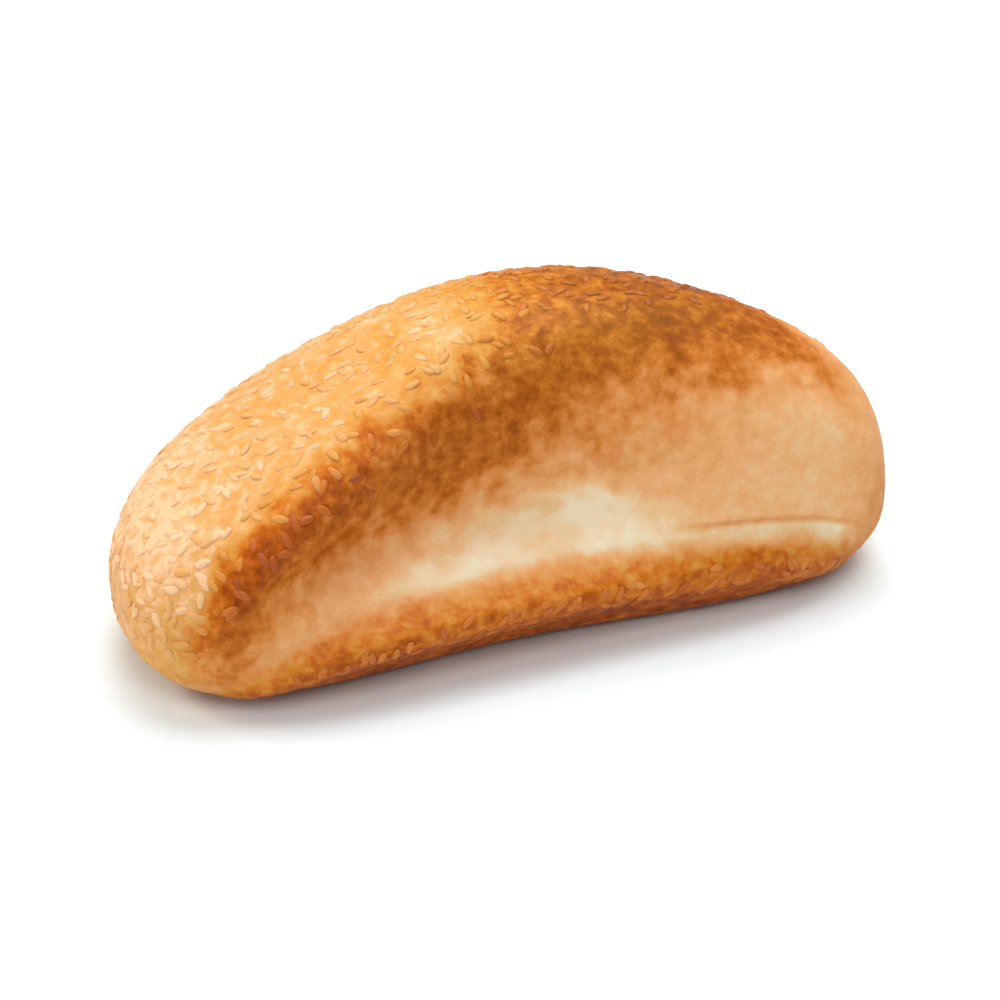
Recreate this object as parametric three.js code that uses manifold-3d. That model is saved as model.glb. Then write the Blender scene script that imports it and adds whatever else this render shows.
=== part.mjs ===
// A sesame mini baguette: a short, plump, slightly curved bread roll that was slashed along its
// front before baking. The slash has opened into a hollow between a browned lip near the base
// and the rounded edge of the crust above, and toasted sesame seeds cover the crust outside it.
//
// Frame, in millimetres: +X runs along the loaf towards its smooth end, +Z is up, and the slash
// faces -Y. The origin lies on the table, under the centre of the loaf's bounding box.

import * as THREE from 'three';
import { mergeVertices } from 'three/addons/utils/BufferGeometryUtils.js';
import Module from 'manifold-3d';

// ---------- driving dimensions ----------

const LOAF = {
  length: 140,
  width: 67.6,           // across the widest cross-section
  height: 54.6,          // of the crown, before the ends fall away
  girthHeight: 14.2,     // the widest line of each cross-section lies this far above the table
  underDepth: 24,        // how far the round underside would reach below it, were it not flat
  baseRounding: 5,       // height over which the underside turns into the flat base
  pressedFlat: 0.4,      // what would lie closer to the table than this is pressed onto it
  planBluntness: 2.39,   // 2 would be an ellipse seen from above; more is blunter
  profileBluntness: 1.64, // less than 2 gives the side view slimmer ends
  topSquareness: 2.15,   // of the cross-section above its widest line
  underSquareness: 2.68, // and below it
  widthTaper: -0.136,    // share of the width gained from the middle to the +X end
  heightTaper: 0.22,     // share of the height gained the same way
  bend: 13.5,            // how far both ends curve forward, towards -Y
};

const SLASH = {
  depth: 13,                   // of the hollow at its deepest
  deepens: [-0.86, -0.36],     // stations over which the hollow deepens from its left end
  shallows: [0, 0.5],          // stations over which it gets shallow towards the right
  shallowShare: 0.15,          // share of the depth that is left there
  closes: [0.72, 0.95],        // stations over which that ends too
  stepShare: 0.45,             // share of the depth that is reached at once behind the lip's edge
  step: [-2, 2],               // heights over the lip's edge over which it is
  shelf: [0, 12],              // heights over which the shelf reaches the rest of the depth
  wallFoot: 0.48,              // share of the edge's angle where the wall begins, on the left
  wallLean: 0.36,              // how much lower it begins on the right, where it leans back
  leans: [-0.3, 0.4],          // stations over which it does
  leastWall: 6,                // degrees that the wall takes up at least
  lipHeight: 15.2,             // of the lip's top edge above the table
  lipDrop: 7.5,                // how far that edge comes down at one lipReach from lipCentre
  lipCentre: 0.05,             // as a station
  lipReach: 0.81,
  lipBulge: 1.2,               // how far the lip's face stands proud
  lipFace: -4.5,               // height over the lip's edge where it bulges most
  lipSpread: 3.5,
  lipStarts: [-0.9, -0.7],     // stations
  lipEnds: [0.7, 0.92],
  edgeStart: -0.86,            // station where the crust's upper edge leaves the base
  edgeSpan: 1.3,               // stations from there to where the edge crosses the crown
  edgePower: 0.55,             // less than 1: steep first, then flatter
  rollBulge: 1.8,              // the crust rolls over the hollow's left half by this much
  rollAngle: 9,                // degrees above the edge where it stands proudest
  rollSpread: 12,
  rollStarts: [-0.85, -0.6],   // stations
  rollEnds: [-0.2, 0.15],
};

// The front curls back under the lip, most of all near the middle, so the loaf's front rests on
// the table along a nearly straight line.
const TUCK = {
  depth: 4,
  centre: -0.12,               // as a station
  reach: 0.62,
  below: [1, 12],              // depths under the widest line over which it comes in
};

// Broad, slow bumps of a loaf shaped by hand: two waves over a unit sphere.
const BUMPS = {
  height: 0.5,
  fineShare: 0.6,
  fadesIn: [-8, 6],            // heights over the widest line: the base stays even
  broad: { along: 5.1, across: 3.9, alongShift: 0.6, acrossShift: 1.1 },
  fine: { along: 9.3, up: 6.9, across: 7.8, alongShift: 2, acrossShift: 0.4 },
};

const SEED = {
  length: 3.2,
  width: 2.0,
  thickness: 1.0,
  sunk: 0.4,             // share of the thickness that lies under the crust
  count: 150,            // as many as the solid can carry, spread evenly
  lowest: 7,             // no seed lies closer than this to the table
  narrowing: 0.35,       // share of the width lost from the round end to the pointed one
  overEdge: 3,           // degrees that the seeds keep from the crust's upper edge
  underLip: 2,           // height that they keep from the lip's top edge
  spinState: 7,          // starts the seeded draw
};

// The real number that solves x³ = x + 1. Steps of its inverse powers fill a plane evenly.
const PLASTIC_NUMBER = 1.32471795724;

const GRID = { alongLoaf: 38, aroundLoaf: 56, frontCrowding: 0.4, steepestTurn: 0.6 };

const CRUST_COLOUR = '#c98a4b';
const CRUST_ROUGHNESS = 0.55;

// ---------- small maths ----------

const DEGREES = 180 / Math.PI;
const smooth = THREE.MathUtils.smoothstep;   // smooth(value, from, to)
const bell = (value, centre, spread) => Math.exp(-(((value - centre) / spread) ** 2));

// ---------- the loaf's shape ----------

// Height above the table with the round underside pressed flat. The flat base ends in a
// definite rim, as the soft underside of a baked loaf does.
function restOnTable(height) {
  const k = LOAF.baseRounding;
  if (height > k) return height;
  const rise = Math.max(height + k, 0) ** 2 / (4 * k);
  return rise < LOAF.pressedFlat ? 0 : rise;
}

// The cross-section at a share of the way along the X axis, from -1 to 1: its station on the
// loaf, its half width, and its reach above and below the widest line.
function sectionAt(along) {
  const girth = Math.sqrt(Math.max(1 - along * along, 0));
  const blunt = (power) => (Math.abs(along) ** power + girth ** power) ** (-1 / power);
  const plan = blunt(LOAF.planBluntness) * girth;
  const profile = blunt(LOAF.profileBluntness) * girth;
  const station = blunt(LOAF.planBluntness) * along;
  return {
    station,
    halfWidth: (LOAF.width / 2) * (1 + LOAF.widthTaper * station) * plan,
    above: (LOAF.height - LOAF.girthHeight) * (1 + LOAF.heightTaper * station) * profile,
    below: LOAF.underDepth * plan,
  };
}

// The cross-section point at a turn around the X axis, before the slash. The turn is in
// radians, from 0 at the front to a quarter turn on the crown, and y and z are measured from
// the middle of the widest line.
function plainPoint(along, turn) {
  const { station, halfWidth, above, below } = sectionAt(along);
  const across = -Math.cos(turn);
  const upward = Math.sin(turn);
  const power = upward > 0 ? LOAF.topSquareness : LOAF.underSquareness;
  const squaring = (Math.abs(across) ** power + Math.abs(upward) ** power) ** (-1 / power);
  const rise = upward > 0 ? above : below;
  return { station, y: halfWidth * across * squaring, z: rise * upward * squaring };
}

// Height of the lip's top edge over the widest line.
function lipTop(station) {
  const offset = Math.abs((station - SLASH.lipCentre) / SLASH.lipReach);
  return SLASH.lipHeight - SLASH.lipDrop * offset ** 4 - LOAF.girthHeight;
}

// Where a cross-section point lies with respect to the slash: its angle in degrees, from 0 at
// the front to 90 on the crown, its height over the lip's top edge, and the crust edge's angle.
function slashPlace(point) {
  const along = Math.max((point.station - SLASH.edgeStart) / SLASH.edgeSpan, 1e-6);
  return {
    angle: Math.atan2(point.z, -point.y) * DEGREES,
    aboveLip: point.z - lipTop(point.station),
    edge: 90 * along ** SLASH.edgePower,
  };
}

// How far the slash moves a cross-section point inwards: the hollow, the lip that bulges below
// it, and the crust that rolls over its upper edge.
function slashDepth(point) {
  const { station } = point;
  const { angle, aboveLip, edge } = slashPlace(point);
  if (point.y > 0 && point.z < 0) return 0;
  const fade = smooth(station, ...SLASH.deepens)
    * (1 - (1 - SLASH.shallowShare) * smooth(station, ...SLASH.shallows))
    * (1 - smooth(station, ...SLASH.closes));
  const shelf = SLASH.stepShare * smooth(aboveLip, ...SLASH.step)
    + (1 - SLASH.stepShare) * smooth(aboveLip, ...SLASH.shelf);
  const foot = edge * (SLASH.wallFoot - SLASH.wallLean * smooth(station, ...SLASH.leans));
  const wall = 1 - smooth(angle, foot, Math.max(edge, foot + SLASH.leastWall));
  const onFront = point.y < 0 ? 1 : 0;
  const lip = bell(aboveLip, SLASH.lipFace, SLASH.lipSpread) * onFront
    * smooth(station, ...SLASH.lipStarts) * (1 - smooth(station, ...SLASH.lipEnds));
  const roll = bell(angle, edge + SLASH.rollAngle, SLASH.rollSpread)
    * smooth(station, ...SLASH.rollStarts) * (1 - smooth(station, ...SLASH.rollEnds));
  return SLASH.depth * fade * shelf * wall - SLASH.lipBulge * lip - SLASH.rollBulge * roll;
}

// How far a cross-section point below the lip moves inwards.
function tuckDepth(point) {
  if (point.y > 0) return 0;
  return TUCK.depth * bell(point.station, TUCK.centre, TUCK.reach) * smooth(-point.z, ...TUCK.below);
}

// How far the slow bumps lift a point.
function bumpHeight(along, turn, point) {
  const girth = Math.sqrt(Math.max(1 - along * along, 0));
  const across = -girth * Math.cos(turn);
  const up = girth * Math.sin(turn);
  const { broad, fine } = BUMPS;
  const broadWave = Math.sin(broad.along * along + broad.alongShift)
    * Math.sin(broad.across * across + broad.acrossShift);
  const fineWave = Math.sin(fine.along * along + fine.up * up + fine.alongShift)
    * Math.cos(fine.across * across + fine.acrossShift);
  return BUMPS.height * (broadWave + BUMPS.fineShare * fineWave)
    * smooth(point.z, ...BUMPS.fadesIn);
}

// The finished surface point at a share along the X axis and a turn around it.
function loafPoint(along, turn) {
  const point = plainPoint(along, turn);
  const radius = Math.max(Math.hypot(point.y, point.z), 1e-9);
  const inwards = slashDepth(point) + tuckDepth(point) - bumpHeight(along, turn, point);
  const scale = 1 - inwards / radius;
  return new THREE.Vector3(
    (LOAF.length / 2) * point.station,
    point.y * scale - LOAF.bend * point.station ** 2,
    restOnTable(LOAF.girthHeight + point.z * scale),
  );
}

// The turn at which the lip's top edge lies.
function lipTurn(along) {
  const { station, above, below } = sectionAt(along);
  const height = lipTop(station);
  const share = height / (height > 0 ? above : below);
  return Math.asin(THREE.MathUtils.clamp(share, -GRID.steepestTurn, GRID.steepestTurn));
}

// A sphere with its poles at the loaf's ends, moved point by point onto the loaf. Its lines
// crowd towards the front, where one of them follows the lip's top edge.
function loafGeometry() {
  const sphere = new THREE.SphereGeometry(1, GRID.aroundLoaf, GRID.alongLoaf);
  sphere.rotateZ(Math.PI / 2);
  sphere.deleteAttribute('normal');
  sphere.deleteAttribute('uv');
  const geometry = mergeVertices(sphere, 1e-5);
  const points = geometry.getAttribute('position');
  for (let i = 0; i < points.count; i++) {
    const along = THREE.MathUtils.clamp(points.getX(i), -1, 1);
    const even = Math.atan2(points.getZ(i), -points.getY(i));
    const crowded = even - GRID.frontCrowding * Math.sin(even);
    const turn = crowded + lipTurn(along) * (1 + Math.cos(even)) / 2;
    points.setXYZ(i, ...loafPoint(along, turn));
  }
  return geometry;
}

// ---------- sesame seeds ----------

// Whether crust is here, and not the hollow or the underside.
function carriesSeeds(along, turn) {
  const point = plainPoint(along, turn);
  const { angle, aboveLip, edge } = slashPlace(point);
  const onBack = point.y > 0 && point.z < 0;
  const inSlash = aboveLip > -SEED.underLip && angle < edge + SEED.overEdge && !onBack;
  return !inSlash && loafPoint(along, turn).z > SEED.lowest;
}

// The place of each seed: an even, non-repeating sequence over the loaf, with the seeds that
// would miss the crust skipped.
function seedPlaces() {
  const places = [];
  for (let i = 1; places.length < SEED.count; i++) {
    const along = 2 * ((0.5 + i / PLASTIC_NUMBER) % 1) - 1;
    const turn = 2 * Math.PI * ((0.5 + i / PLASTIC_NUMBER ** 2) % 1);
    if (carriesSeeds(along, turn)) places.push({ along, turn });
  }
  return places;
}

// The loaf's outward normal, from small steps along its surface.
function loafNormal(along, turn, step = 0.01) {
  const lengthways = loafPoint(along + step, turn).sub(loafPoint(along - step, turn));
  const around = loafPoint(along, turn + step).sub(loafPoint(along, turn - step));
  return lengthways.cross(around).normalize();
}

// One flat teardrop, its long axis on X, lying on the XY plane.
function seedGeometry() {
  const geometry = new THREE.SphereGeometry(0.5, 5, 3);
  geometry.rotateZ(Math.PI / 2);
  geometry.scale(SEED.length, SEED.width, SEED.thickness);
  const points = geometry.getAttribute('position');
  for (let i = 0; i < points.count; i++) {
    const pointed = 1 - SEED.narrowing * (points.getX(i) / SEED.length + 0.5);
    points.setY(i, points.getY(i) * pointed);
  }
  geometry.deleteAttribute('normal');
  geometry.deleteAttribute('uv');
  return mergeVertices(geometry, 1e-4);
}

// The seed's placing: flat on the crust, spun about the normal.
function seedMatrix({ along, turn }, spinAngle) {
  const up = new THREE.Vector3(0, 0, 1);
  const normal = loafNormal(along, turn);
  const lift = SEED.thickness * (0.5 - SEED.sunk);
  const position = loafPoint(along, turn).addScaledVector(normal, lift);
  const lay = new THREE.Quaternion().setFromUnitVectors(up, normal);
  const spin = new THREE.Quaternion().setFromAxisAngle(up, spinAngle);
  return new THREE.Matrix4().compose(position, lay.multiply(spin), new THREE.Vector3(1, 1, 1));
}

// ---------- joining ----------

const wasm = await Module();
wasm.setup();

function toSolid(geometry) {
  return new wasm.Manifold(new wasm.Mesh({
    numProp: 3,
    vertProperties: new Float32Array(geometry.getAttribute('position').array),
    triVerts: new Uint32Array(geometry.getIndex().array),
  }));
}

function toGeometry(solid) {
  const mesh = solid.getMesh();
  const geometry = new THREE.BufferGeometry();
  geometry.setAttribute('position', new THREE.BufferAttribute(mesh.vertProperties, 3));
  geometry.setIndex(new THREE.BufferAttribute(mesh.triVerts, 1));
  return geometry;
}

// A seeded draw, so that every build turns the seeds the same way.
function seededDraw(state) {
  return () => {
    state = (state * 1664525 + 1013904223) % 4294967296;
    return state / 4294967296;
  };
}

function breadGeometry() {
  const draw = seededDraw(SEED.spinState);
  const seed = seedGeometry();
  let bread = toSolid(loafGeometry());
  for (const place of seedPlaces()) {
    const placed = seed.clone().applyMatrix4(seedMatrix(place, 2 * Math.PI * draw()));
    bread = bread.add(toSolid(placed));
  }
  return toGeometry(bread);
}

// Moves the bread so that its bounding box is centred over the origin.
function centreOverOrigin(geometry) {
  geometry.computeBoundingBox();
  const centre = geometry.boundingBox.getCenter(new THREE.Vector3());
  return geometry.translate(-centre.x, -centre.y, 0);
}

// ---------- the model ----------

const crust = new THREE.MeshStandardMaterial({
  color: CRUST_COLOUR,
  roughness: CRUST_ROUGHNESS,
  metalness: 0,
});

const loaf = new THREE.Mesh(centreOverOrigin(breadGeometry()), crust);
loaf.name = 'loaf';

const miniBaguette = new THREE.Group();
miniBaguette.add(loaf);

export default miniBaguette;
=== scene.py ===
# %% [markdown]
# # A sesame mini baguette
#
# The real thing is one short loaf of wheat dough. The baker rolls it, presses sesame seeds onto
# it, and cuts one long slash along the front before it goes into the oven. There the slash opens:
# the crust above it rolls back, the crust below it stays as a low lip, and between them the
# dough that was inside bakes to a paler and smoother skin.
#
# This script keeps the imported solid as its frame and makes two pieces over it: the crust, one
# finely divided skin with all its relief, and the sesame seeds.

import math
import random
from types import SimpleNamespace

import bmesh
import bpy
from mathutils import Matrix, Vector, noise


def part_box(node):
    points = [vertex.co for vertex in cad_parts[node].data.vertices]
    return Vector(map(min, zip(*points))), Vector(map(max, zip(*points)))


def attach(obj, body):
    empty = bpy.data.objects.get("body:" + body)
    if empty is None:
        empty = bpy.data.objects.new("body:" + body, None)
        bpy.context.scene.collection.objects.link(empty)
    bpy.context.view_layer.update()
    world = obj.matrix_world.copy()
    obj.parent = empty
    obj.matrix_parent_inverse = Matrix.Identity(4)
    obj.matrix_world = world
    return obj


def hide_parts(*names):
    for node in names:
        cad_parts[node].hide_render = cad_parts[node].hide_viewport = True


MM = 0.001  # the recipe is in millimetres, and Blender's scene in metres

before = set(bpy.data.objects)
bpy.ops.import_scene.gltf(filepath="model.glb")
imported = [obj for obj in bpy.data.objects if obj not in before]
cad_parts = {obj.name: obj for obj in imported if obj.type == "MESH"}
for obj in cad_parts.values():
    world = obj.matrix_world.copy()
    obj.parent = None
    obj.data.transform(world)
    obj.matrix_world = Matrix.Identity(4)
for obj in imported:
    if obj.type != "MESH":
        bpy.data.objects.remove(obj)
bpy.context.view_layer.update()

# %% [markdown]
# ## The camera
#
# A packshot is taken from a few loaf lengths away with a long lens, so that the loaf keeps its
# proportions. The camera could be placed by hand and turned until the picture looks right, but a
# camera that is placed by its two angles around the loaf is easier to read and to correct.

# %% Camera
VIEW_AZIMUTH = math.radians(-19.5)  # 0 looks along +Y
VIEW_ELEVATION = math.radians(30)
VIEW_DISTANCE = 0.5913
VIEW_TARGET = Vector((0.0019, -0.0017, 0.0157))
LENS_MM = 120
SENSOR_MM = 36


def direction_from(azimuth, elevation):
    """The unit vector that points from the loaf towards a viewer or a light."""
    flat = math.cos(elevation)
    return Vector((math.sin(azimuth) * flat, -math.cos(azimuth) * flat, math.sin(elevation)))


def aim(thing, direction, distance, target):
    """Puts a camera or a light in a direction from the target, looking at it."""
    thing.location = target + direction * distance
    thing.rotation_mode = "QUATERNION"
    thing.rotation_quaternion = (-direction).to_track_quat("-Z", "Y")


camera = bpy.data.objects.new("camera", bpy.data.cameras.new("camera"))
camera.data.lens = LENS_MM
camera.data.sensor_width = SENSOR_MM
camera.data.clip_start = 0.01
bpy.context.scene.collection.objects.link(camera)
bpy.context.scene.camera = camera
aim(camera, direction_from(VIEW_AZIMUTH, VIEW_ELEVATION), VIEW_DISTANCE, VIEW_TARGET)
print("camera at", [round(x, 3) for x in camera.location])

# %% [markdown]
# ## The recipe for the loaf's shape
#
# A loaf has no straight line to start from. It could be sculpted by hand, or built from a
# subdivided cage, but its outline is close to a few well known curves. Seen from above and from
# the side it is a blunt ellipse, and so is each cross-section. So each point of a sphere is sent
# to a point of the loaf by formula, which keeps the piece on the solid it stands for: these are
# the same values as the solid's. A place along the loaf is given as a station, from -1 at the
# left tip to 1 at the right one, and a place around it as an angle, from 0 degrees at the front
# to 90 on the crown.

# %% Driving sizes, in millimetres
LOAF = SimpleNamespace(
    length=140,
    width=67.6,
    height=54.6,
    girth_height=14.2,  # the widest line lies this far above the table
    under_depth=24,  # how far the round underside would reach below it
    base_rounding=5,
    pressed_flat=0.4,  # what would lie closer to the table than this is pressed onto it
    plan_bluntness=2.39,  # 2 is an ellipse
    profile_bluntness=1.64,
    top_squareness=2.15,
    under_squareness=2.68,
    width_taper=-0.136,
    height_taper=0.22,
    bend=13.5,  # both ends curve forward by this much
)

SLASH = SimpleNamespace(
    depth=13,
    deepens=(-0.86, -0.36),  # stations
    shallows=(0, 0.5),
    shallow_share=0.15,
    closes=(0.72, 0.95),
    step_share=0.45,  # of the depth, reached at once behind the lip's edge
    step=(-2, 2),  # heights over the lip's edge
    shelf=(0, 12),
    wall_foot=0.48,  # share of the edge's angle
    wall_lean=0.36,
    leans=(-0.3, 0.4),
    least_wall=6,  # degrees
    lip_height=15.2,
    lip_drop=7.5,
    lip_centre=0.05,
    lip_reach=0.81,
    lip_bulge=1.2,
    lip_face=-4.5,  # height over the lip's edge
    lip_spread=3.5,
    lip_starts=(-0.9, -0.7),
    lip_ends=(0.7, 0.92),
    edge_start=-0.86,
    edge_span=1.3,
    edge_power=0.55,
    roll_bulge=1.8,
    roll_angle=9,  # degrees above the edge
    roll_spread=12,
    roll_starts=(-0.85, -0.6),
    roll_ends=(-0.2, 0.15),
)

TUCK = SimpleNamespace(depth=4, centre=-0.12, reach=0.62, below=(1, 12))

BUMPS = SimpleNamespace(
    height=0.5,
    fine_share=0.6,
    fades_in=(-8, 6),  # heights over the widest line: the base stays even
    broad=SimpleNamespace(along=5.1, across=3.9, along_shift=0.6, across_shift=1.1),
    fine=SimpleNamespace(along=9.3, up=6.9, across=7.8, along_shift=2, across_shift=0.4),
)


# %% Two curves that everything is blended with
def smoothstep(value, start, end):
    """0 before start, 1 after end, and a smooth S between them."""
    share = min(max((value - start) / (end - start), 0.0), 1.0)
    return share * share * (3 - 2 * share)


def bell(value, centre, spread):
    """1 at the centre, falling off smoothly on both sides."""
    return math.exp(-(((value - centre) / spread) ** 2))


def mix(first, second, share):
    return first + (second - first) * share


# %% The plain loaf, before the slash
def blunt(along, girth, power):
    return (abs(along) ** power + girth**power) ** (-1 / power)


def section_at(along):
    """Station, half width, and reach above and below the widest line, at a share of the X axis."""
    girth = math.sqrt(max(1 - along * along, 0.0))
    plan = blunt(along, girth, LOAF.plan_bluntness)
    profile = blunt(along, girth, LOAF.profile_bluntness)
    station = plan * along
    half_width = LOAF.width / 2 * (1 + LOAF.width_taper * station) * plan * girth
    crown = (LOAF.height - LOAF.girth_height) * (1 + LOAF.height_taper * station)
    return station, half_width, crown * profile * girth, LOAF.under_depth * plan * girth


def lip_top(station):
    """Height of the lip's top edge over the widest line."""
    offset = abs((station - SLASH.lip_centre) / SLASH.lip_reach)
    return SLASH.lip_height - SLASH.lip_drop * offset**4 - LOAF.girth_height


def lip_turn(along, steepest=0.6):
    """The turn around the X axis at which the lip's top edge lies."""
    station, _, above, below = section_at(along)
    height = lip_top(station)
    share = height / max(above if height > 0 else below, 1e-6)
    return math.asin(min(max(share, -steepest), steepest))


class Place:
    """A point of the loaf before the slash, and where it lies with respect to the slash."""

    def __init__(self, along, turn):
        station, half_width, above, below = section_at(along)
        across, upward = -math.cos(turn), math.sin(turn)
        power = LOAF.top_squareness if upward > 0 else LOAF.under_squareness
        squaring = (abs(across) ** power + abs(upward) ** power) ** (-1 / power)
        opened = max((station - SLASH.edge_start) / SLASH.edge_span, 1e-6)
        self.along, self.turn, self.station = along, turn, station
        self.y = half_width * across * squaring
        self.z = (above if upward > 0 else below) * upward * squaring
        self.angle = math.degrees(math.atan2(self.z, -self.y))
        self.above_lip = self.z - lip_top(station)
        self.edge = 90 * opened**SLASH.edge_power  # the angle of the crust's upper edge
        self.on_back = self.y > 0
        self.under_back = self.y > 0 and self.z < 0


# %% [markdown]
# ## The slash
#
# The hollow starts sharply at the lip's top edge, runs back as a shelf, and climbs a wall to the
# edge of the crust above. On the left that crust rolls over the wall, and on the right the wall
# leans back until it is lost in the smooth flank. A Boolean with a spoon-shaped cutter would give
# a hard rim all the way round, so the hollow is a depth that is taken off each point instead.


# %% Depth of the slash, and of the tuck below it
def slash_depth(place):
    """How far the slash moves a point inwards, in millimetres."""
    if place.under_back:
        return 0.0
    station, angle, above_lip, edge = place.station, place.angle, place.above_lip, place.edge
    fade = smoothstep(station, *SLASH.deepens)
    fade *= mix(1, SLASH.shallow_share, smoothstep(station, *SLASH.shallows))
    fade *= 1 - smoothstep(station, *SLASH.closes)
    step, shelf = smoothstep(above_lip, *SLASH.step), smoothstep(above_lip, *SLASH.shelf)
    foot = edge * (SLASH.wall_foot - SLASH.wall_lean * smoothstep(station, *SLASH.leans))
    wall = 1 - smoothstep(angle, foot, max(edge, foot + SLASH.least_wall))
    hollow = SLASH.depth * fade * mix(shelf, step, SLASH.step_share) * wall
    lip = 0.0 if place.on_back else bell(above_lip, SLASH.lip_face, SLASH.lip_spread)
    lip *= smoothstep(station, *SLASH.lip_starts) * (1 - smoothstep(station, *SLASH.lip_ends))
    roll = bell(angle, edge + SLASH.roll_angle, SLASH.roll_spread)
    roll *= smoothstep(station, *SLASH.roll_starts) * (1 - smoothstep(station, *SLASH.roll_ends))
    return hollow - SLASH.lip_bulge * lip - SLASH.roll_bulge * roll


def tuck_depth(place):
    """How far the front curls back under the lip, in millimetres."""
    if place.on_back:
        return 0.0
    along_front = bell(place.station, TUCK.centre, TUCK.reach)
    return TUCK.depth * along_front * smoothstep(-place.z, *TUCK.below)


# %% Slow bumps, the flat base, and the finished surface
def slow_bumps(place):
    """The broad unevenness of a loaf shaped by hand: two waves over a unit sphere."""
    girth = math.sqrt(max(1 - place.along**2, 0.0))
    x, y, z = place.along, -girth * math.cos(place.turn), girth * math.sin(place.turn)
    broad, fine = BUMPS.broad, BUMPS.fine
    broad_wave = math.sin(broad.along * x + broad.along_shift)
    broad_wave *= math.sin(broad.across * y + broad.across_shift)
    fine_wave = math.sin(fine.along * x + fine.up * z + fine.along_shift)
    fine_wave *= math.cos(fine.across * y + fine.across_shift)
    unevenness = broad_wave + BUMPS.fine_share * fine_wave
    return BUMPS.height * unevenness * smoothstep(place.z, *BUMPS.fades_in)


def rest_on_table(height):
    """Height above the table with the round underside pressed flat, up to a definite rim."""
    rounding = LOAF.base_rounding
    if height > rounding:
        return height
    rise = max(height + rounding, 0.0) ** 2 / (4 * rounding)
    return 0.0 if rise < LOAF.pressed_flat else rise


def loaf_point(place):
    """The surface point of a place, in millimetres."""
    radius = max(math.hypot(place.y, place.z), 1e-9)
    scale = 1 - (slash_depth(place) + tuck_depth(place) - slow_bumps(place)) / radius
    x = LOAF.length / 2 * place.station
    y = place.y * scale - LOAF.bend * place.station**2
    return Vector((x, y, rest_on_table(LOAF.girth_height + place.z * scale)))


# %% [markdown]
# ## Which skin is where
#
# Two kinds of surface meet on this loaf. The old skin was outside from the start: it carries the
# seeds, and bakes dark and blistered. The new skin was inside the dough until the slash opened.
# One number per point says how much old skin it is, and a second one how far it has browned,
# with some painted shade and painted highlight worked into it.
# Both could be painted by hand, but then they would not follow a change of the form, so they are
# worked out from the same angles and heights and stored on the mesh as attributes.

# %% Where the browning goes
BAND = SimpleNamespace(  # the dark band where the torn edge of the crust stood up to the heat
    drop=14,  # degrees that its middle lies below the crust's edge
    drops=(-0.75, -0.1),  # stations over which it gets there
    bow=28,  # degrees that it bows down again towards the right end
    bows=(0.6, 0.95),
    fade_up=(4, 24),  # degrees over its middle where it turns into the crust above
    fade_down=44,  # degrees below its middle where it has faded into the shelf
    fade_down_right=24,
    narrows=(0.5, 0.8),
    ends=(0.7, 0.95),  # stations over which it takes the right tip's tone
)
BACK = SimpleNamespace(  # behind the crest the gold and the brown meet in a soft border that wanders
    angles=(90, 135),  # degrees over which the border comes to soften and wander
    softer=0.25,  # stations
    wander=0.25,
    wander_size=24.0,  # millimetres
    fades=(105, 170),  # degrees over which the brown thins out
    fade_share=0.75,
)
UNDERSIDE = (-88, -50)  # degrees between which the front turns under, where it meets the back
SKIN = SimpleNamespace(  # where the old skin gives way to the new one
    over_lip=(-0.5, 2.0),  # millimetres over the lip's edge
    over_edge=(-12, 3),  # degrees over the crust's edge
    softens=(0.75, 1),  # stations over which that border widens, as the right end narrows
    softer=35,  # degrees that it widens by
    left_tip=(-0.9, -0.82),  # stations between which the slash starts
)
BOTTOM = 270  # degrees, as the angle is counted over the crown and down the back
TIPS = (0.78, 0.96)  # how far from the middle a tip's own tone takes over, in stations
TIP_RISE = (0, 14)  # millimetres over the widest line between which a tip takes its high tone
BASE_RISE = (0.3, 3)  # millimetres above the table between which the base's brown and painted contact shade fade
RAGGED_NOISE = (0.8, 2.0, 2)  # how fast the octaves fall off, their spacing and their number
RAGGED_SIZE = 5.0  # millimetres between the lobes of the band's uneven border
RAGGED_ANGLE = 7.0  # degrees
RAGGED_HEIGHT = 1.2  # millimetres, of the lip's border

# Browning runs from 0, the palest crumb, to 1, the darkest crust. Some tones below are
# painted shade and painted highlight, marked where they stand.
# the left tip's pale gold, painted paler still where the left end's broad gloss highlight lies
LEFT_TIP_AND_HIGHLIGHT = 0.04
GOLDEN = 0.18
TOWARDS_CROWN = 0.06  # the gold deepens by this much before the brown begins
CROWN = 0.76
CROWN_RIGHT = 0.94
RIGHT_END = 0.34
BAKED_BAND = 0.86
LIP_EDGE = 0.54
LIP_FACE = 0.7
# darker at the lip's foot: partly browner crust, partly painted shade where it turns under
LIP_FOOT_AND_SHADE = 0.88
LOW_LEFT = 0.4
LOW_TIP = 0.26
FLANK = 0.27
SHELF_LEFT = 0.26
FAR_SIDE = 0.16
RIGHT_TIP = 0.4
LOW_RIGHT_TIP = 0.6
# the flat base's brown, with painted contact shade along the rim where it meets the table
BASE_AND_CONTACT_SHADE = 0.8
LIP_GLOW = (-1, 3.8)  # millimetres over the lip's edge between which its colour fades into the shelf
LIP_LEVELS = SimpleNamespace(foot=-9, face=-4, edge=-0.5)  # millimetres over the lip's edge
CRUST_ZONES = SimpleNamespace(  # stations over which one tone turns into the next
    tip_to_gold=(-0.9, -0.6),
    deeper_gold=(-0.45, -0.2),
    half_border=0.12,  # on either side of the middle, where gold turns brown
    darker_brown=(0.1, 0.5),
    right_end=(0.6, 0.85),
    low_left=(-0.75, -0.6),
    low_left_angles=(15, 45),  # degrees
    far_side_angles=(120, 200),
)
SLASH_ZONES = SimpleNamespace(
    shelf=(-0.6, -0.25),  # stations over which the tan on its left fades
    start=(-0.8, 0.07),  # middle and reach of the slash's browned start
    start_tone=0.3,
    left_end=(-0.8, -0.65),
    left_end_tone=0.1,
    flank=(0.22, 0.44),  # stations over which the tan of the right flank begins
)

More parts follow.
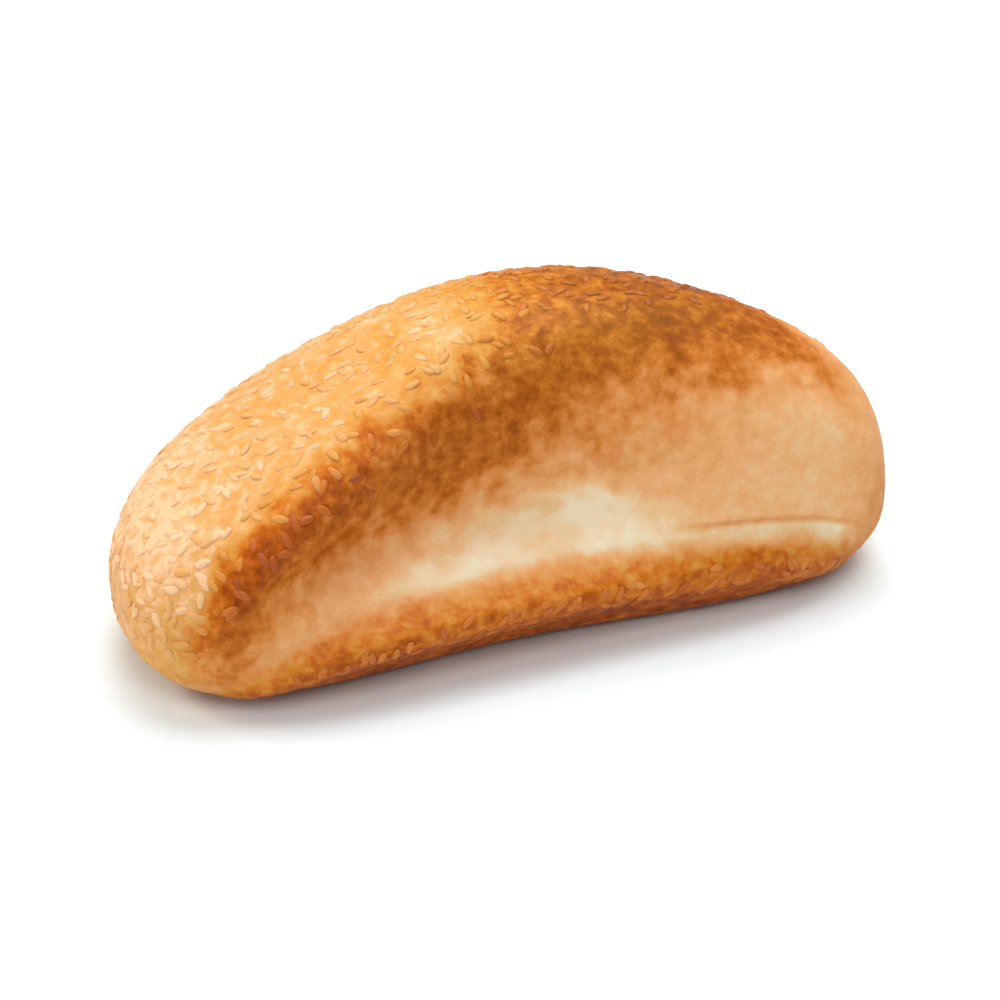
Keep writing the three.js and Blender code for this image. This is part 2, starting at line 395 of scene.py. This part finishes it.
MARKS = [  # single marks of this loaf: station, angle, how far they reach, and how much they darken
    (-0.36, 52, 0.05, 8, -0.2),  # a light gap in the band
    (-0.13, 60, 0.06, 7, 0.2),  # painted shade in the corner where the band meets the crown, turned from the light
    (-0.15, 84, 0.05, 12, -0.14),  # a painted highlight: a light streak where the crest faces the light
    (0.26, 36, 0.16, 12, 0.28),  # a tan cloud on the wall of the slash
    (0.45, 72, 0.16, 12, 0.14),  # scorched above the flank
    (0.58, -6, 0.06, 7, 0.14),  # a dark patch on the lip
    (0.78, -6, 0.06, 8, -0.15),  # where the lip runs out into the end
    (-0.5, -8, 0.15, 8, 0.14),  # the lip is darker before it turns up to the left
    (0.04, 8, 0.14, 6, 0.1),  # the shelf warms towards the lip
]


def ragged(point):
    """An uneven value around 0, the same for every piece at the same point."""
    return noise.fractal(point / RAGGED_SIZE, *RAGGED_NOISE)


def old_skin(place):
    """1 on the seeded crust, 0 in the opened slash."""
    if place.under_back:
        return 1.0
    under_lip = 1 - smoothstep(place.above_lip, *SKIN.over_lip)
    border_start, border_end = SKIN.over_edge
    border_end += SKIN.softer * smoothstep(place.station, *SKIN.softens)
    over_edge = smoothstep(place.angle, place.edge + border_start, place.edge + border_end)
    left_tip = 1 - smoothstep(place.station, *SKIN.left_tip)
    underside = 1 - smoothstep(place.angle, *UNDERSIDE)
    return max(under_lip, over_edge, left_tip, underside)


# %% Browning of the crust, the slash and the lip
def crust_tone(station, angle, point):
    """Above the band: golden on the left, brown over the crown, lighter at the right end."""
    behind = smoothstep(angle, *BACK.angles)
    station += BACK.wander * behind * noise.noise(point / BACK.wander_size)
    zones = CRUST_ZONES
    gold = mix(LEFT_TIP_AND_HIGHLIGHT, GOLDEN, smoothstep(station, *zones.tip_to_gold))
    gold += TOWARDS_CROWN * smoothstep(station, *zones.deeper_gold)
    gold += FAR_SIDE * smoothstep(angle, *zones.far_side_angles)
    half_border = zones.half_border + BACK.softer * behind
    crown = smoothstep(station, -half_border, half_border)
    crown *= 1 - BACK.fade_share * smoothstep(angle, *BACK.fades)
    brown = mix(CROWN, CROWN_RIGHT, smoothstep(station, *zones.darker_brown))
    brown = mix(brown, RIGHT_END, smoothstep(station, *zones.right_end))
    low_left = 1 - smoothstep(angle, *zones.low_left_angles)
    low_left *= 1 - smoothstep(station, *zones.low_left)
    return mix(mix(gold, brown, crown), LOW_LEFT, low_left)


def slash_tone(station):
    """Below the band: tan at both ends of the slash and nearly white between them."""
    zones = SLASH_ZONES
    shelf = SHELF_LEFT * (1 - smoothstep(station, *zones.shelf))
    start = zones.start_tone * bell(station, *zones.start)
    start += zones.left_end_tone * (1 - smoothstep(station, *zones.left_end))
    return shelf + start + FLANK * smoothstep(station, *zones.flank)


def marks(station, angle):
    """What the single marks add."""
    return sum(
        darker * bell(station, at, reach) * bell(angle, around, spread)
        for at, around, reach, spread, darker in MARKS
    )


def lip_tone(above_lip):
    # towards its foot the lip darkens, partly painted shade near the table
    face = mix(LIP_FACE, LIP_EDGE, smoothstep(above_lip, LIP_LEVELS.face, LIP_LEVELS.edge))
    return mix(LIP_FOOT_AND_SHADE, face, smoothstep(above_lip, LIP_LEVELS.foot, LIP_LEVELS.face))


def tip_tone(place):
    # the left tip's high tone carries its painted highlight
    low_tip, high_tip = (LOW_TIP, LEFT_TIP_AND_HIGHLIGHT) if place.station < 0 else (LOW_RIGHT_TIP, RIGHT_TIP)
    return mix(low_tip, high_tip, smoothstep(place.z, *TIP_RISE))


def band_shares(station, angle, edge):
    """How far a point has left the slash for the band, and the band for the crust above."""
    middle = edge - BAND.drop * smoothstep(station, *BAND.drops)
    middle -= BAND.bow * smoothstep(station, *BAND.bows)
    fade_down = mix(BAND.fade_down, BAND.fade_down_right, smoothstep(station, *BAND.narrows))
    below = smoothstep(angle, middle - fade_down, middle)
    above = smoothstep(angle, middle + BAND.fade_up[0], middle + BAND.fade_up[1])
    return below, above


def browning_and_painted_light(place, point):
    """0 is pale crumb skin, 1 is the darkest crust, with painted shade and highlight in places."""
    station, uneven = place.station, ragged(point)
    angle = (place.angle + 360 if place.under_back else place.angle) + RAGGED_ANGLE * uneven
    below, above = band_shares(station, angle, place.edge)
    band = mix(BAKED_BAND, RIGHT_TIP, smoothstep(station, *BAND.ends))
    tone = mix(slash_tone(station), band, below)
    tone = mix(tone, crust_tone(station, angle, point), above)
    above_lip = place.above_lip + RAGGED_HEIGHT * uneven
    on_lip = 0.0 if place.on_back else 1 - smoothstep(above_lip, *LIP_GLOW)
    tone = mix(tone, lip_tone(above_lip), on_lip) + marks(station, angle)
    tone = mix(crust_tone(station, BOTTOM, point), tone, smoothstep(angle, *UNDERSIDE))
    tone = mix(tone, tip_tone(place), smoothstep(abs(station), *TIPS))
    # the base's brown and the painted contact shade along its rim fade out above the table
    return mix(BASE_AND_CONTACT_SHADE, tone, smoothstep(point.z, *BASE_RISE))


# %% [markdown]
# ## The crust piece
#
# A sphere made by one bmesh operator has the right topology: its two poles become the loaf's
# tips. It is subdivided until its faces are about half a millimetre wide, which is fine enough
# for the relief to be real geometry.

# %% A sphere becomes the loaf
AROUND = 110
ALONG = 53
CUTS = 3  # each edge is cut this many times, so 440 faces run around the loaf, and fewer at its tips
FRONT_CROWDING = 0.3  # moves the lines of the mesh towards the slash


def new_piece(name, bm):
    """Turns a finished bmesh into an object in the scene."""
    mesh = bpy.data.meshes.new(name)
    bm.to_mesh(mesh)
    bm.free()
    mesh.shade_smooth()
    piece = bpy.data.objects.new(name, mesh)
    bpy.context.scene.collection.objects.link(piece)
    return piece


crust_bm = bmesh.new()
bmesh.ops.create_uvsphere(crust_bm, u_segments=AROUND, v_segments=ALONG, radius=1)
tips_on_x = Matrix.Rotation(math.radians(90), 3, "Y")
bmesh.ops.rotate(crust_bm, verts=crust_bm.verts, cent=(0, 0, 0), matrix=tips_on_x)
bmesh.ops.subdivide_edges(crust_bm, edges=crust_bm.edges, cuts=CUTS, use_grid_fill=True)
skin_layer = crust_bm.verts.layers.float.new("old_skin")
painted_light_browning_layer = crust_bm.verts.layers.float.new("browning_and_painted_light")

places = []
for vert in crust_bm.verts:
    vert.co.normalize()
    along = min(max(vert.co.x, -1.0), 1.0)
    even = math.atan2(vert.co.z, -vert.co.y)
    turn = even - FRONT_CROWDING * math.sin(even) + lip_turn(along) * (1 + math.cos(even)) / 2
    place = Place(along, turn)
    point = loaf_point(place)
    places.append(place)
    vert.co = point * MM
    vert[skin_layer] = old_skin(place)
    vert[painted_light_browning_layer] = browning_and_painted_light(place, point)
crust_bm.normal_update()
print(len(crust_bm.verts), "points on the crust")

# %% [markdown]
# ## Relief
#
# The old skin has dried in the oven into fine grain and small blisters. The new skin is smooth,
# but where the dough tore it has strands that run up the wall, and on the right a fold above the
# lip, where the flank hangs over a pale strip. A bump in the material would do for the grain at
# this distance, but not for the outline or a close look, so the points are really moved.

# %% Grain, blisters, strands and the fold
GRAIN_SIZE, GRAIN_HEIGHT = 2.4, 0.16  # millimetres
GRAIN_NOISE = (0.7, 2.1, 4)  # how fast the octaves fall off, their spacing and their number
BLISTER_SIZE, BLISTER_HEIGHT = 1.1, 0.10
RELIEF_STARTS = (0.5, 4)  # millimetres above the table: the base stays even
STRANDS = SimpleNamespace(
    spacing=1.9,
    length=11,
    height=0.22,
    paleness=0.2,
    sway=3.0,
    sway_size=9.0,
    angles=(42, 15),  # middle and reach, in degrees, of the wall that has them
    stations=(0.02, 0.34),  # and along the loaf
)
SMOOTH_SKIN = 0.3  # share of the grain's height that the new skin has
FOLD = SimpleNamespace(
    depth=1.1,
    foot=(0.5, 4.5),  # heights over the lip's edge between which it deepens
    brink=(5.2, 5.9),
    stations=(0.32, 0.5, 0.78, 0.9),
    paleness=0.18,
    # a painted shade line under the brink, where the flank hangs over the strip
    line_width=0.8,
    shade_line_tone=0.3,
)


def strands(place, point):
    """Uneven ridges that run up the wall of the slash, between 0 and about 1."""
    swayed = point.x + STRANDS.sway * noise.noise(point / STRANDS.sway_size)
    across = Vector((swayed / STRANDS.spacing, point.y / STRANDS.length, point.z / STRANDS.length))
    zone = bell(place.angle, *STRANDS.angles) * bell(place.station, *STRANDS.stations)
    return zone * noise.noise(across)


def fold_stretch(place):
    starts, full, fades, ends = FOLD.stations
    stretch = smoothstep(place.station, starts, full) * (1 - smoothstep(place.station, fades, ends))
    return 0.0 if place.on_back else stretch


def fold(place):
    """From 0 at the lip to 1 just below the brink of the flank that hangs over it."""
    strip = smoothstep(place.above_lip, *FOLD.foot) * (1 - smoothstep(place.above_lip, *FOLD.brink))
    return fold_stretch(place) * strip


def relief(place, point):
    """Height of the fine relief at a point, in millimetres."""
    grain = GRAIN_HEIGHT * noise.fractal(point / GRAIN_SIZE, *GRAIN_NOISE)
    blisters = BLISTER_HEIGHT * noise.noise(point / BLISTER_SIZE)
    on_new = SMOOTH_SKIN * grain + STRANDS.height * strands(place, point) - FOLD.depth * fold(place)
    return mix(on_new, grain + blisters, old_skin(place))


for vert, place in zip(crust_bm.verts, places):
    point = vert.co / MM
    lifted = smoothstep(point.z, *RELIEF_STARTS)
    vert.co += vert.normal * relief(place, point) * MM * lifted
    # a painted shade line just under the brink, where the overhanging flank shades the strip
    brink_shade_line = bell(place.above_lip, FOLD.brink[0], FOLD.line_width) * fold_stretch(place)
    paler = STRANDS.paleness * strands(place, point) + FOLD.paleness * fold(place)
    vert[painted_light_browning_layer] += (FOLD.shade_line_tone * brink_shade_line - paler) * (1 - vert[skin_layer])

bmesh.ops.recalc_face_normals(crust_bm, faces=crust_bm.faces)
crust = new_piece("crust", crust_bm)
print("crust:", len(crust.data.polygons), "faces")

# %% [markdown]
# ## Onto the solid
#
# The solid lies centred over the origin, and the recipe's loaf a little in front of it. The way
# between them could be written down as a number, but their two boxes give it without one.

# %% Onto the solid
low = Vector([min(v.co[axis] for v in crust.data.vertices) for axis in range(3)])
high = Vector([max(v.co[axis] for v in crust.data.vertices) for axis in range(3)])
node_low, node_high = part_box("loaf")
onto_solid = (node_low + node_high - low - high) / 2
onto_solid.z = 0
crust.data.transform(Matrix.Translation(onto_solid))
print("moved onto the solid by, mm:", [round(x / MM, 2) for x in onto_solid])

# %% [markdown]
# ## The sesame seeds
#
# A sesame seed is a flat teardrop about 3 mm long. Geometry Nodes could scatter them, but they
# have to follow the two skins and lie flat on them, and each takes its toasting from the crust
# below it. So a loop places each one: it takes the next point of an even sequence, skips it where
# there is no old skin, and lays a copy of one small teardrop there. A few lie a little past the
# crust's edge, on the dark band.

# %% One seed
SEED = SimpleNamespace(
    count=1150,
    size=(2.9, 1.8, 0.8),  # millimetres
    sunk=0.58,  # share of the thickness that lies under the crust
    paler=0.07,  # than the crust below, on its scale of browning
    toast_spread=0.07,
    lowest=7,
    over_edge=3,  # degrees from the crust's edge
    into_band=-12,  # as far past the edge as a few of them reach
    tip=0.98,  # none lies right on a tip, where the crust has no direction around it
    under_lip=2,
    spread=0.14,  # of the size
    tilt=9,  # degrees
    narrowing=0.35,
    in_solid=150,  # the first ones lie exactly where the solid's are
    stray=0.018,  # how far the others lie off the even pattern, along and around the sphere
    stray_turn=0.06,
    lay_draws=7,  # starts the seeded draw of how each one lies
    stray_draws=11,  # and the one of how far it strays
)
PLASTIC_NUMBER = 1.32471795724  # steps of its inverse powers fill a plane evenly


def seed_shape():
    """One flat teardrop of unit size, its long axis on X."""
    shape_bm = bmesh.new()
    bmesh.ops.create_uvsphere(shape_bm, u_segments=8, v_segments=5, radius=0.5)
    bmesh.ops.rotate(shape_bm, verts=shape_bm.verts, cent=(0, 0, 0), matrix=tips_on_x)
    for vert in shape_bm.verts:
        vert.co.y *= 1 - SEED.narrowing * (vert.co.x + 0.5)
    shape = bpy.data.meshes.new("seed_shape")
    shape_bm.to_mesh(shape)
    shape_bm.free()
    return shape


# %% Where the seeds lie
def carries_seeds(place, over_edge):
    over_lip = place.above_lip > -SEED.under_lip and not place.under_back
    in_slash = over_lip and place.angle < place.edge + over_edge
    return not in_slash and loaf_point(place).z > SEED.lowest


def seed_places(count, scatter):
    """An even sequence over the loaf that never repeats, without the places that miss the crust."""
    step, found = 0, []
    while len(found) < count:
        step += 1
        along = 2 * ((0.5 + step / PLASTIC_NUMBER) % 1) - 1
        turn = 2 * math.pi * ((0.5 + step / PLASTIC_NUMBER**2) % 1)
        over_edge = SEED.over_edge
        if len(found) >= SEED.in_solid:
            along = min(max(along + scatter.gauss(0, SEED.stray), -SEED.tip), SEED.tip)
            turn += scatter.gauss(0, SEED.stray_turn)
            over_edge = scatter.uniform(SEED.into_band, SEED.over_edge)
        place = Place(along, turn)
        if carries_seeds(place, over_edge):
            found.append(place)
    return found


def loaf_normal(place, step=0.01):
    ahead, back = Place(place.along + step, place.turn), Place(place.along - step, place.turn)
    over, under = Place(place.along, place.turn + step), Place(place.along, place.turn - step)
    lengthways = loaf_point(ahead) - loaf_point(back)
    around = loaf_point(over) - loaf_point(under)
    return lengthways.cross(around).normalized()


def seed_matrix(place, draw):
    """Lays a seed flat on the crust, spun, a little tilted and a little larger or smaller."""
    normal = loaf_normal(place)
    size = 1 + draw.uniform(-SEED.spread, SEED.spread)
    lift = SEED.size[2] * (0.5 - SEED.sunk)
    spot = Matrix.Translation((loaf_point(place) + normal * lift) * MM + onto_solid)
    lay = normal.to_track_quat("Z", "Y").to_matrix().to_4x4()
    spin = Matrix.Rotation(draw.uniform(0, 2 * math.pi), 4, "Z")
    tilt = Matrix.Rotation(math.radians(draw.uniform(-SEED.tilt, SEED.tilt)), 4, "X")
    scale = Matrix.Diagonal([side * size * MM for side in SEED.size] + [1])
    return spot @ lay @ spin @ tilt @ scale


# %% All the seeds as one piece
draw = random.Random(SEED.lay_draws)
stamp = seed_shape()
seeds_bm = bmesh.new()
toast_light_layer = seeds_bm.verts.layers.float.new("toast_and_painted_light")
for place in seed_places(SEED.count, random.Random(SEED.stray_draws)):
    first = len(seeds_bm.verts)
    seeds_bm.from_mesh(stamp)
    seeds_bm.verts.ensure_lookup_table()
    matrix = seed_matrix(place, draw)
    # each seed's toast follows the crust's browning, painted shade and highlight included
    toast_and_painted_light = browning_and_painted_light(place, loaf_point(place)) - SEED.paler + draw.gauss(0, SEED.toast_spread)
    for vert in seeds_bm.verts[first:]:
        vert.co = matrix @ vert.co
        vert[toast_light_layer] = toast_and_painted_light
bmesh.ops.recalc_face_normals(seeds_bm, faces=seeds_bm.faces)
seeds = new_piece("sesame_seeds", seeds_bm)
print(SEED.count, "seeds,", len(seeds.data.polygons), "faces")

# %% [markdown]
# ## Materials
#
# Colours are written as the hex values that a picture editor shows and are turned to linear
# light by one function. One small helper adds a node with its settings and links.


# %% Helpers for materials
def linear(hex_colour):
    """An sRGB hex colour as linear red, green, blue and alpha."""
    parts = [int(hex_colour[i : i + 2], 16) / 255 for i in (1, 3, 5)]
    curve = [p / 12.92 if p <= 0.04045 else ((p + 0.055) / 1.055) ** 2.4 for p in parts]
    return (*curve, 1.0)


def node(tree, kind, inputs=(), **settings):
    """Adds a node, sets its properties, and sets or links its inputs."""
    made = tree.nodes.new(kind)
    for name, value in settings.items():
        setattr(made, name, value)
    for name, value in dict(inputs).items():
        if isinstance(value, bpy.types.NodeSocket):
            tree.links.new(value, made.inputs[name])
        else:
            made.inputs[name].default_value = value
    return made


RAMP_END = 1.2  # browning that the darkest flecks of the mottle reach


def colour_ramp(tree, level_with_painted_light, stops):
    """A ramp through hex colours at the given levels of browning."""
    share = node(tree, "ShaderNodeMath", {0: level_with_painted_light, 1: RAMP_END}, operation="DIVIDE")
    ramp = node(tree, "ShaderNodeValToRGB", {"Fac": share.outputs[0]})
    elements = ramp.color_ramp.elements
    while len(elements) < len(stops):
        elements.new(0.5)
    for element, (level, colour) in zip(elements, stops):
        element.position = level / RAMP_END
        element.color = linear(colour)
    return ramp.outputs["Color"]


def noise_of(tree, where, size_mm, detail):
    """Noise whose blots are about this many millimetres apart."""
    scale = 1 / (size_mm * MM)
    inputs = {"Vector": where, "Scale": scale, "Detail": detail, "Roughness": 0.6}
    return node(tree, "ShaderNodeTexNoise", inputs).outputs["Fac"]


def new_material(name):
    material = bpy.data.materials.new(name)
    material.use_nodes = True
    tree = material.node_tree
    return material, tree, tree.nodes["Principled BSDF"]


# %% [markdown]
# ### Baked wheat crust
#
# Crust is starch that has dried to a satin skin. The eye reads it by three things: a base tone
# that follows how much heat each part had, with some painted shade and highlight in it, a mottle
# of about seed size, and a soft gloss. Two colour ramps turn the browning into colour, one for
# each skin, because the new skin starts nearly white and the old one golden. Towards the crest the
# brown is turned a little from red towards yellow, and the seeds' with it: a painted sheen, for
# the light from behind that grazes the crest.

# %% Baked wheat crust
OLD_SKIN_COLOURS = [
    (0.0, "#efbf91"),
    (0.15, "#dfa461"),
    (0.3, "#d79748"),
    (0.45, "#d48936"),
    (0.6, "#cc731c"),
    (0.75, "#ba5c0a"),
    (0.9, "#a94c04"),
    (1.0, "#984303"),
    (RAMP_END, "#7c3302"),
]
NEW_SKIN_COLOURS = [
    (0.0, "#f2e2c2"),
    (0.15, "#edc693"),
    (0.3, "#ebae74"),
    (0.45, "#e19d60"),
    (0.6, "#d98a46"),
    (0.75, "#c47022"),
    (0.9, "#ac580b"),
    (1.0, "#9b4a04"),
    (RAMP_END, "#823a03"),
]
MOTTLE_SIZE = 2.3  # millimetres, that of the seeds and the shade around them
MOTTLE = SimpleNamespace(least=0.12, more_on_old_skin=0.5, more_where_dark=0.8)
CLOUD_SIZE, CLOUD_STRENGTH = 12.0, 0.25
PORE_SIZE, PORE_DEPTH, PORE_STRENGTH = 1.1, 0.3, 0.5
NEW_SKIN_ROUGHNESS, OLD_SKIN_ROUGHNESS = 0.6, 0.4
CREST_START, CREST_END = 45, 53  # millimetres, between which the painted sheen turns the hue
CREST_HUE = 0.514  # 0.5 leaves the hue as it is, and more turns orange towards yellow


def crest_sheen_hue(tree, colour, level_with_painted_light):
    """Painted sheen: turns brown a little from red towards yellow on the crest, and gold hardly at
    all.
    """
    where = node(tree, "ShaderNodeTexCoord").outputs["Object"]
    height = node(tree, "ShaderNodeSeparateXYZ", {"Vector": where}).outputs["Z"]
    limits = {"Value": height, "From Min": CREST_START * MM, "From Max": CREST_END * MM}
    crest_share = node(tree, "ShaderNodeMapRange", limits, interpolation_type="SMOOTHSTEP").outputs[0]
    factors = {0: crest_share, 1: level_with_painted_light}
    share = node(tree, "ShaderNodeMath", factors, operation="MULTIPLY", use_clamp=True).outputs[0]
    hue_turn = {"Fac": share, "Color": colour, "Hue": CREST_HUE}
    return node(tree, "ShaderNodeHueSaturation", hue_turn).outputs["Color"]


def baked_crust():
    material, tree, shader = new_material("baked_wheat_crust")
    where = node(tree, "ShaderNodeTexCoord").outputs["Object"]
    skin = node(tree, "ShaderNodeAttribute", attribute_name="old_skin").outputs["Fac"]
    browning_with_painted_light = node(tree, "ShaderNodeAttribute", attribute_name="browning_and_painted_light").outputs["Fac"]

    def maths(operation, first, second, third=0.0):
        made = node(tree, "ShaderNodeMath", {0: first, 1: second, 2: third}, operation=operation)
        return made.outputs[0]

    # the mottle is stronger on the old skin, and strongest where it is dark
    strength = maths("MULTIPLY_ADD", skin, MOTTLE.more_on_old_skin, MOTTLE.least)
    strength = maths("MULTIPLY_ADD", browning_with_painted_light, MOTTLE.more_where_dark, strength)
    mottle = maths("SUBTRACT", noise_of(tree, where, MOTTLE_SIZE, detail=3.0), 0.5)
    clouds = maths("SUBTRACT", noise_of(tree, where, CLOUD_SIZE, detail=2.0), 0.5)
    level = maths("MULTIPLY_ADD", mottle, strength, browning_with_painted_light)
    level = maths("MULTIPLY_ADD", clouds, CLOUD_STRENGTH, level)

    # a mix of colours takes them at its inputs 6 and 7 and gives the mixture at its output 2
    skins = node(tree, "ShaderNodeMix", {"Factor": skin}, data_type="RGBA")
    tree.links.new(colour_ramp(tree, level, NEW_SKIN_COLOURS), skins.inputs[6])
    tree.links.new(colour_ramp(tree, level, OLD_SKIN_COLOURS), skins.inputs[7])
    tree.links.new(crest_sheen_hue(tree, skins.outputs[2], browning_with_painted_light), shader.inputs["Base Color"])

    pores = noise_of(tree, where, PORE_SIZE, detail=4.0)
    pitting = {"Height": pores, "Strength": PORE_STRENGTH, "Distance": PORE_DEPTH * MM}
    bump = node(tree, "ShaderNodeBump", pitting)
    tree.links.new(bump.outputs["Normal"], shader.inputs["Normal"])
    smoother = OLD_SKIN_ROUGHNESS - NEW_SKIN_ROUGHNESS
    roughness = maths("MULTIPLY_ADD", skin, smoother, NEW_SKIN_ROUGHNESS)
    tree.links.new(roughness, shader.inputs["Roughness"])
    shader.inputs["IOR"].default_value = 1.45
    shader.inputs["Specular IOR Level"].default_value = 0.14  # pores swallow most of the gloss
    return material


# %% [markdown]
# ### Toasted sesame
#
# The husk of a sesame seed is smooth and a little oily. Baked into the crust, the seeds take
# nearly its colour and stay only a little lighter, so they show by their outline and gloss.

# %% Toasted sesame
def toasted_sesame():
    material, tree, shader = new_material("toasted_sesame")
    toast_and_painted_light = node(tree, "ShaderNodeAttribute", attribute_name="toast_and_painted_light").outputs["Fac"]
    colour = crest_sheen_hue(tree, colour_ramp(tree, toast_and_painted_light, OLD_SKIN_COLOURS), toast_and_painted_light)
    tree.links.new(colour, shader.inputs["Base Color"])
    shader.inputs["Roughness"].default_value = 0.48
    shader.inputs["IOR"].default_value = 1.47
    shader.inputs["Specular IOR Level"].default_value = 0.4
    return material


crust.data.materials.append(baked_crust())
seeds.data.materials.append(toasted_sesame())
print("materials:", [material.name for material in bpy.data.materials])

# %% [markdown]
# ## Riding on the frame
#
# A bread roll has no moving parts, so both pieces ride on its one body. The crust stands for the
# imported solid, which is hidden under it.

# %% Riding on the frame
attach(crust, "root")
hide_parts("loaf")
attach(seeds, "root")

# %% [markdown]
# ## Floor and light
#
# The loaf lies on a seamless white ground. One large soft lamp hangs above and behind it, so
# that the shadow falls towards the viewer and stays close to the loaf. A small lamp on the left
# gives the left end its gloss, and a weak one low on that side lights the end itself. One more in
# front lifts the slash, and the white world fills the rest.

# %% Floor
FLOOR_REACH = 3  # metres from its middle to each side
floor_bm = bmesh.new()
bmesh.ops.create_grid(floor_bm, x_segments=1, y_segments=1, size=FLOOR_REACH)
floor = new_piece("floor", floor_bm)
floor_material, _, floor_shader = new_material("white_paper")
floor_shader.inputs["Base Color"].default_value = linear("#eff9fb")
floor_shader.inputs["Roughness"].default_value = 0.9
floor.data.materials.append(floor_material)


# %% Lights
LAMP_TARGET = Vector((0, 0, 0.02))  # metres: inside the loaf, a little below its middle
WORLD_STRENGTH = 0.32


def soft_lamp(name, azimuth, elevation, distance, size, watts):
    """Hangs a square lamp in a direction from the loaf, facing it."""
    lamp = bpy.data.objects.new(name, bpy.data.lights.new(name, "AREA"))
    lamp.data.size = size
    lamp.data.energy = watts
    bpy.context.scene.collection.objects.link(lamp)
    direction = direction_from(math.radians(azimuth), math.radians(elevation))
    aim(lamp, direction, distance, LAMP_TARGET)


soft_lamp("top_lamp", azimuth=140, elevation=68, distance=1.1, size=1.0, watts=11.8)
soft_lamp("gloss_lamp", azimuth=-120, elevation=34, distance=1.0, size=0.3, watts=2.8)
soft_lamp("side_lamp", azimuth=-75, elevation=14, distance=0.9, size=0.4, watts=1.1)
soft_lamp("front_lamp", azimuth=-10, elevation=52, distance=1.2, size=0.6, watts=4.2)

world = bpy.data.worlds.new("white_room")
bpy.context.scene.world = world
world.use_nodes = True
world.node_tree.nodes["Background"].inputs["Color"].default_value = linear("#ffffff")
world.node_tree.nodes["Background"].inputs["Strength"].default_value = WORLD_STRENGTH
bpy.context.scene.view_settings.view_transform = "Standard"
